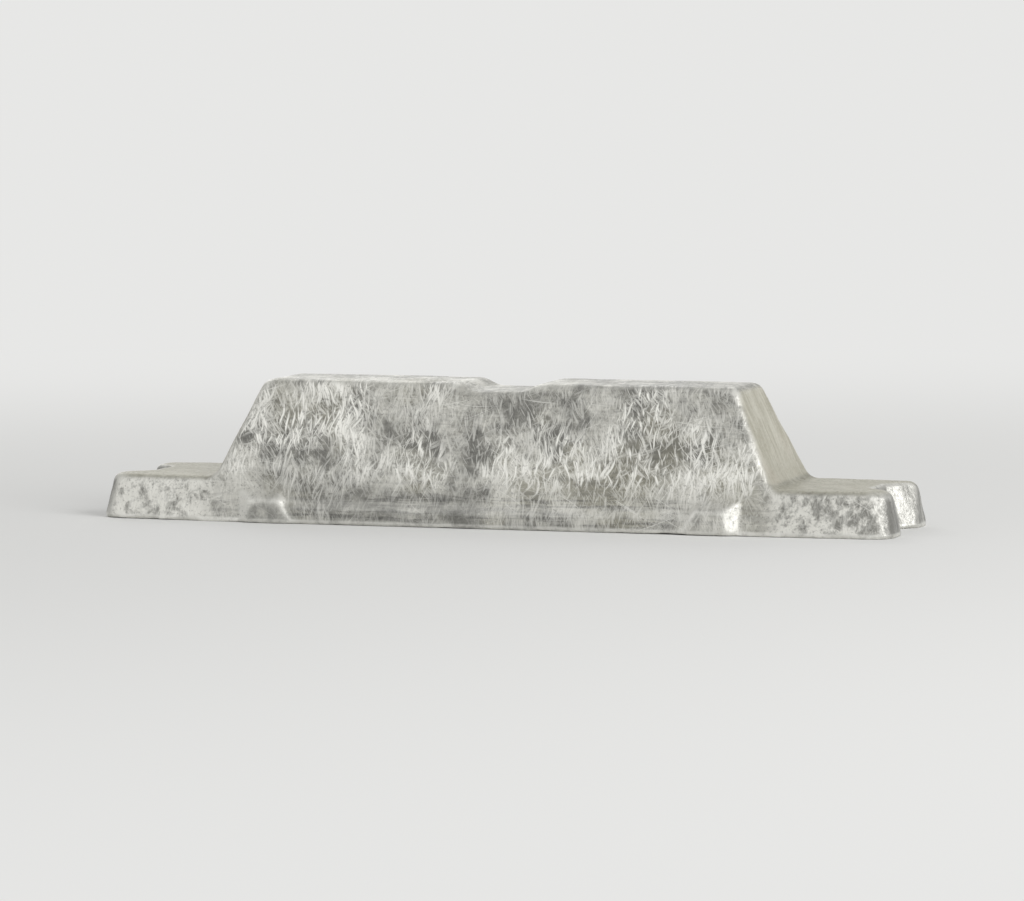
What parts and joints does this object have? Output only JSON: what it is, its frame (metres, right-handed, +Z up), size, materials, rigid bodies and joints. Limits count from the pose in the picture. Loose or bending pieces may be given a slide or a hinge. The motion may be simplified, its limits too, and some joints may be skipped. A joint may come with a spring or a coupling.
{
  "type": "cast aluminium ingot",
  "caption": "One-piece cast aluminium ingot: a drafted bar on a wide pour face, a notched lug at each end, a band along the foot of both sides between four raised pads, and a shallow groove across its narrow face.",
  "frame": {"origin": "centre of the wide pour face, which lies on the floor", "axes": "+X along the ingot from lug to lug, +Y across it, +Z up from the pour face to the narrow face"},
  "size_m": [0.7, 0.174, 0.121],
  "materials": {
    "cast_aluminium": "as cast: matt oxide skin with fine scratches, bright on the lug tips and the edges"
  },
  "bodies": {
    "root": {"ingot": "cast_aluminium"}
  },
  "joints": []
}
